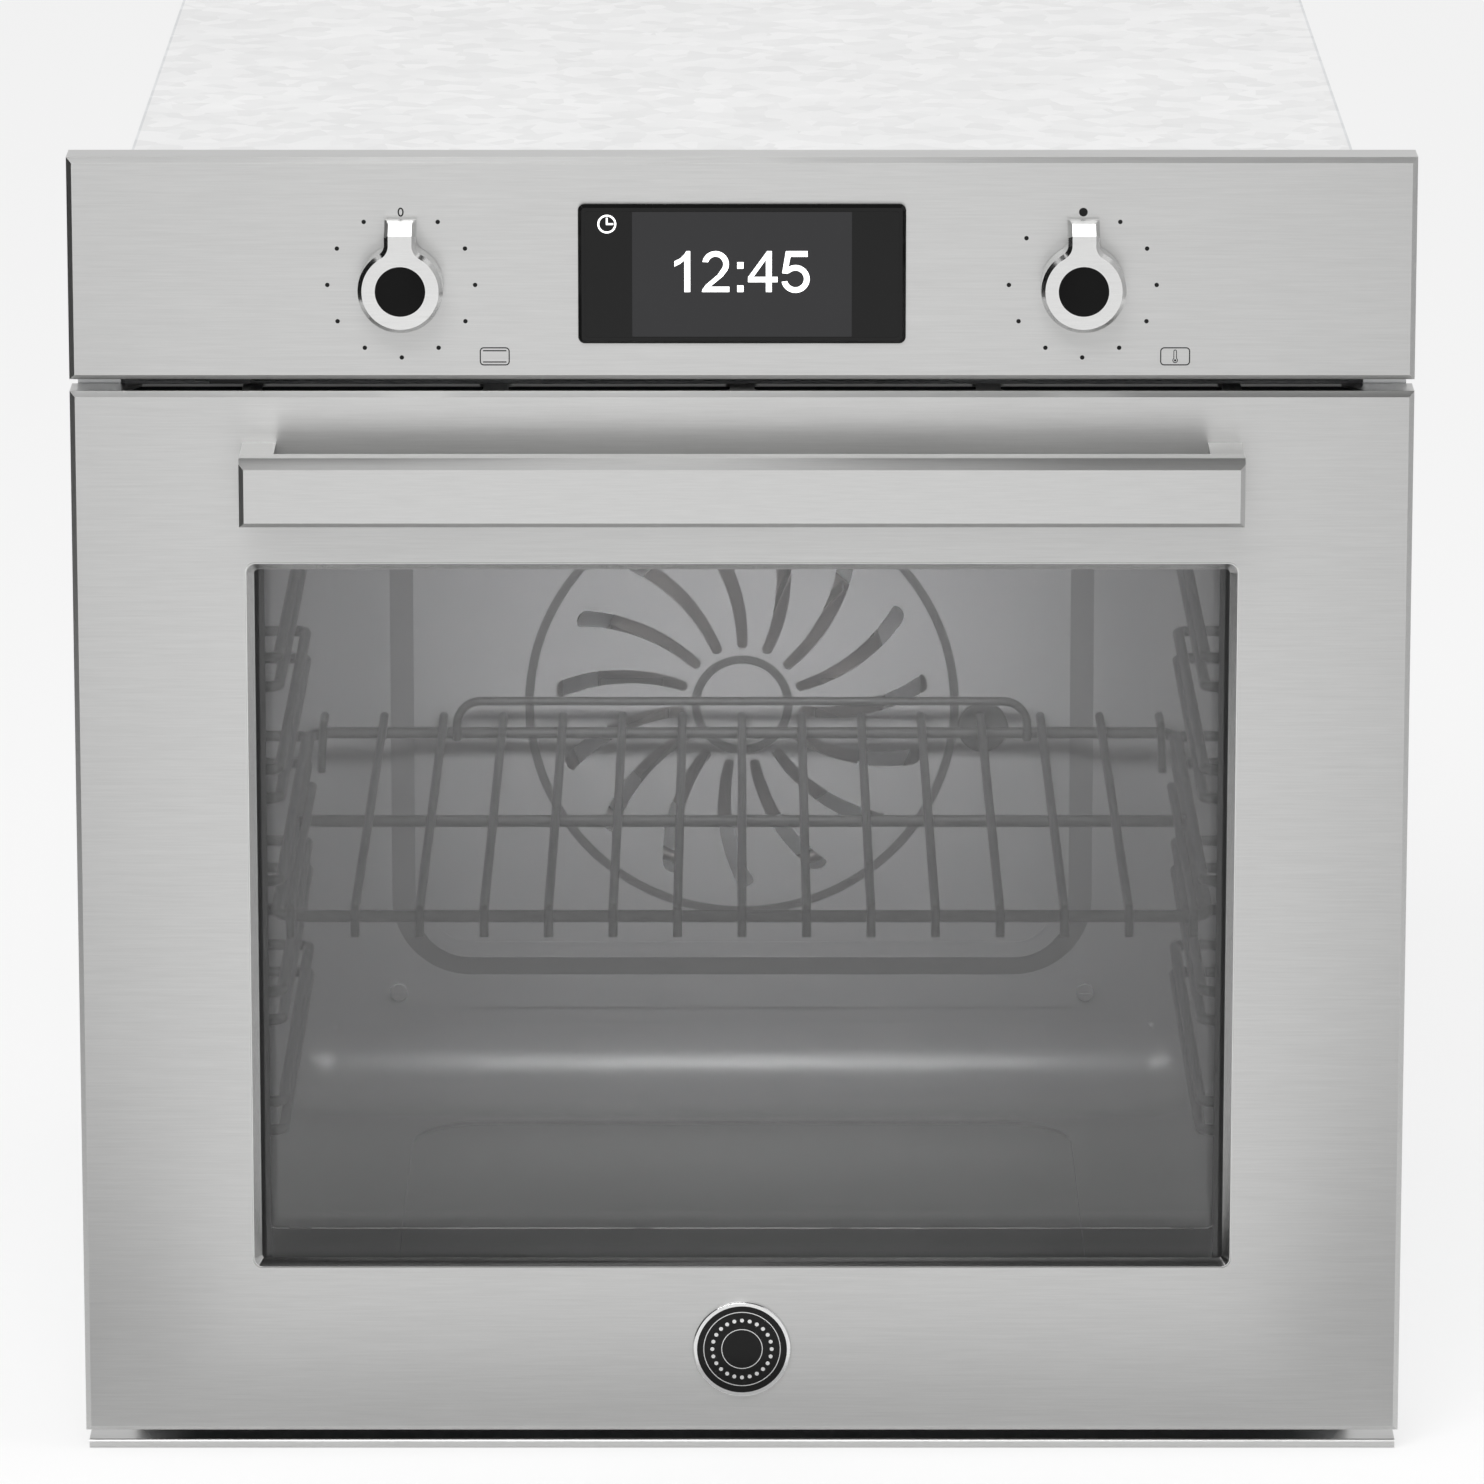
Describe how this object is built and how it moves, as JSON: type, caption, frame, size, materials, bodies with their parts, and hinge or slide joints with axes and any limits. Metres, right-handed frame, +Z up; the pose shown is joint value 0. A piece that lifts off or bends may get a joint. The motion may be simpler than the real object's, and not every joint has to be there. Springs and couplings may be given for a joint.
{
  "type": "wall oven",
  "caption": "Built-in electric wall oven with a drop-down glazed door, bar handle, two pointer knobs, clock display, wire shelf and a fan-heated cavity behind triple glass.",
  "frame": {"origin": "Middle of the width, on the plane of the shelf it stands on, in the plane of the cabinet's front face", "axes": "+X to the right seen from the front, +Y into the cabinet, +Z up; the front faces -Y"},
  "size_m": [0.597, 0.608, 0.597],
  "materials": {
    "stainless": "horizontal brushed",
    "galvanised": "galvanised sheet",
    "enamel": "gloss enamel",
    "wire": "black enamelled wire",
    "element": "heat darkened",
    "clear_glass": "polished",
    "black_frame": "matt black",
    "black_gloss": "gloss",
    "knob_metal": "satin chrome",
    "chrome": "polished",
    "gasket": "woven look",
    "wool": "mineral wool",
    "motor": "laminated steel",
    "plastic": "matt",
    "board": "solder mask",
    "screw": "zinc plated"
  },
  "bodies": {
    "chassis": {"control_panel": "stainless", "bottom_trim": "stainless", "base_plate": "galvanised", "side_panel_left": "galvanised", "side_panel_right": "galvanised", "top_cover": "galvanised", "rear_cover": "galvanised", "upper_deck": "galvanised", "fan_chamber": "galvanised", "blower_housing": "galvanised", "lamp_holder": "galvanised", "front_frame": "enamel", "oven_cavity": "enamel", "fan_cover": "enamel", "side_rack_left": "wire", "side_rack_right": "wire", "probe_socket": "wire", "grill_element": "element", "bottom_element": "element", "ring_element": "element", "lamp_lens": "clear_glass", "hinge_arms": "black_frame", "display_housing": "black_gloss", "display_glass": "black_gloss", "door_gasket": "gasket", "cavity_insulation": "wool", "fan_motor": "motor", "blower_motor": "motor", "control_switches": "plastic", "door_lock": "plastic", "terminal_block": "plastic", "control_board": "board", "rear_cover_screws": "screw", "fan_cover_screws": "screw"},
    "door": {"door_skin": "stainless", "window_frame": "stainless", "outer_glass": "clear_glass", "middle_glass": "clear_glass", "inner_glass": "clear_glass", "door_pillars": "black_frame", "door_top_rail": "black_frame", "door_bottom_rail": "black_frame", "handle_bar": "stainless", "handle_posts": "stainless", "handle_screws": "screw", "badge_disc": "black_gloss", "badge_ring": "chrome", "hinge_brackets": "black_frame", "hinge_pins": "screw"},
    "selector": {"selector_knob": "knob_metal", "selector_cap": "black_gloss", "selector_shaft": "screw"},
    "temperature": {"temperature_knob": "knob_metal", "temperature_cap": "black_gloss", "temperature_shaft": "screw"},
    "rack": {"wire_rack": "wire"},
    "fan": {"convection_fan": "element", "fan_shaft": "screw"},
    "blower": {"blower_wheel": "plastic"},
    "lock": {"lock_tongue": "black_frame"}
  },
  "joints": [
    {"name": "door_hinge", "type": "hinge", "parent": "chassis", "child": "door", "pos_m": [0, -0.005, 0.032], "axis": [1, 0, 0], "range_deg": [0, 90]},
    {"name": "selector_turn", "type": "hinge", "parent": "chassis", "child": "selector", "pos_m": [-0.1508, -0.022, 0.54], "axis": [0, 1, 0], "continuous": true},
    {"name": "temperature_turn", "type": "hinge", "parent": "chassis", "child": "temperature", "pos_m": [0.1508, -0.022, 0.54], "axis": [0, 1, 0], "range_deg": [0, 310]},
    {"name": "rack_slide", "type": "slide", "parent": "chassis", "child": "rack", "axis": [0, -1, 0], "range_m": [0, 0.018]},
    {"name": "fan_spin", "type": "hinge", "parent": "chassis", "child": "fan", "pos_m": [0, 0.47, 0.243], "axis": [0, 1, 0], "continuous": true},
    {"name": "blower_spin", "type": "hinge", "parent": "chassis", "child": "blower", "pos_m": [0, 0.27, 0.5], "axis": [0, 0, 1], "continuous": true},
    {"name": "lock_slide", "type": "slide", "parent": "chassis", "child": "lock", "axis": [0, 1, 0], "range_m": [0, 0.008]}
  ]
}
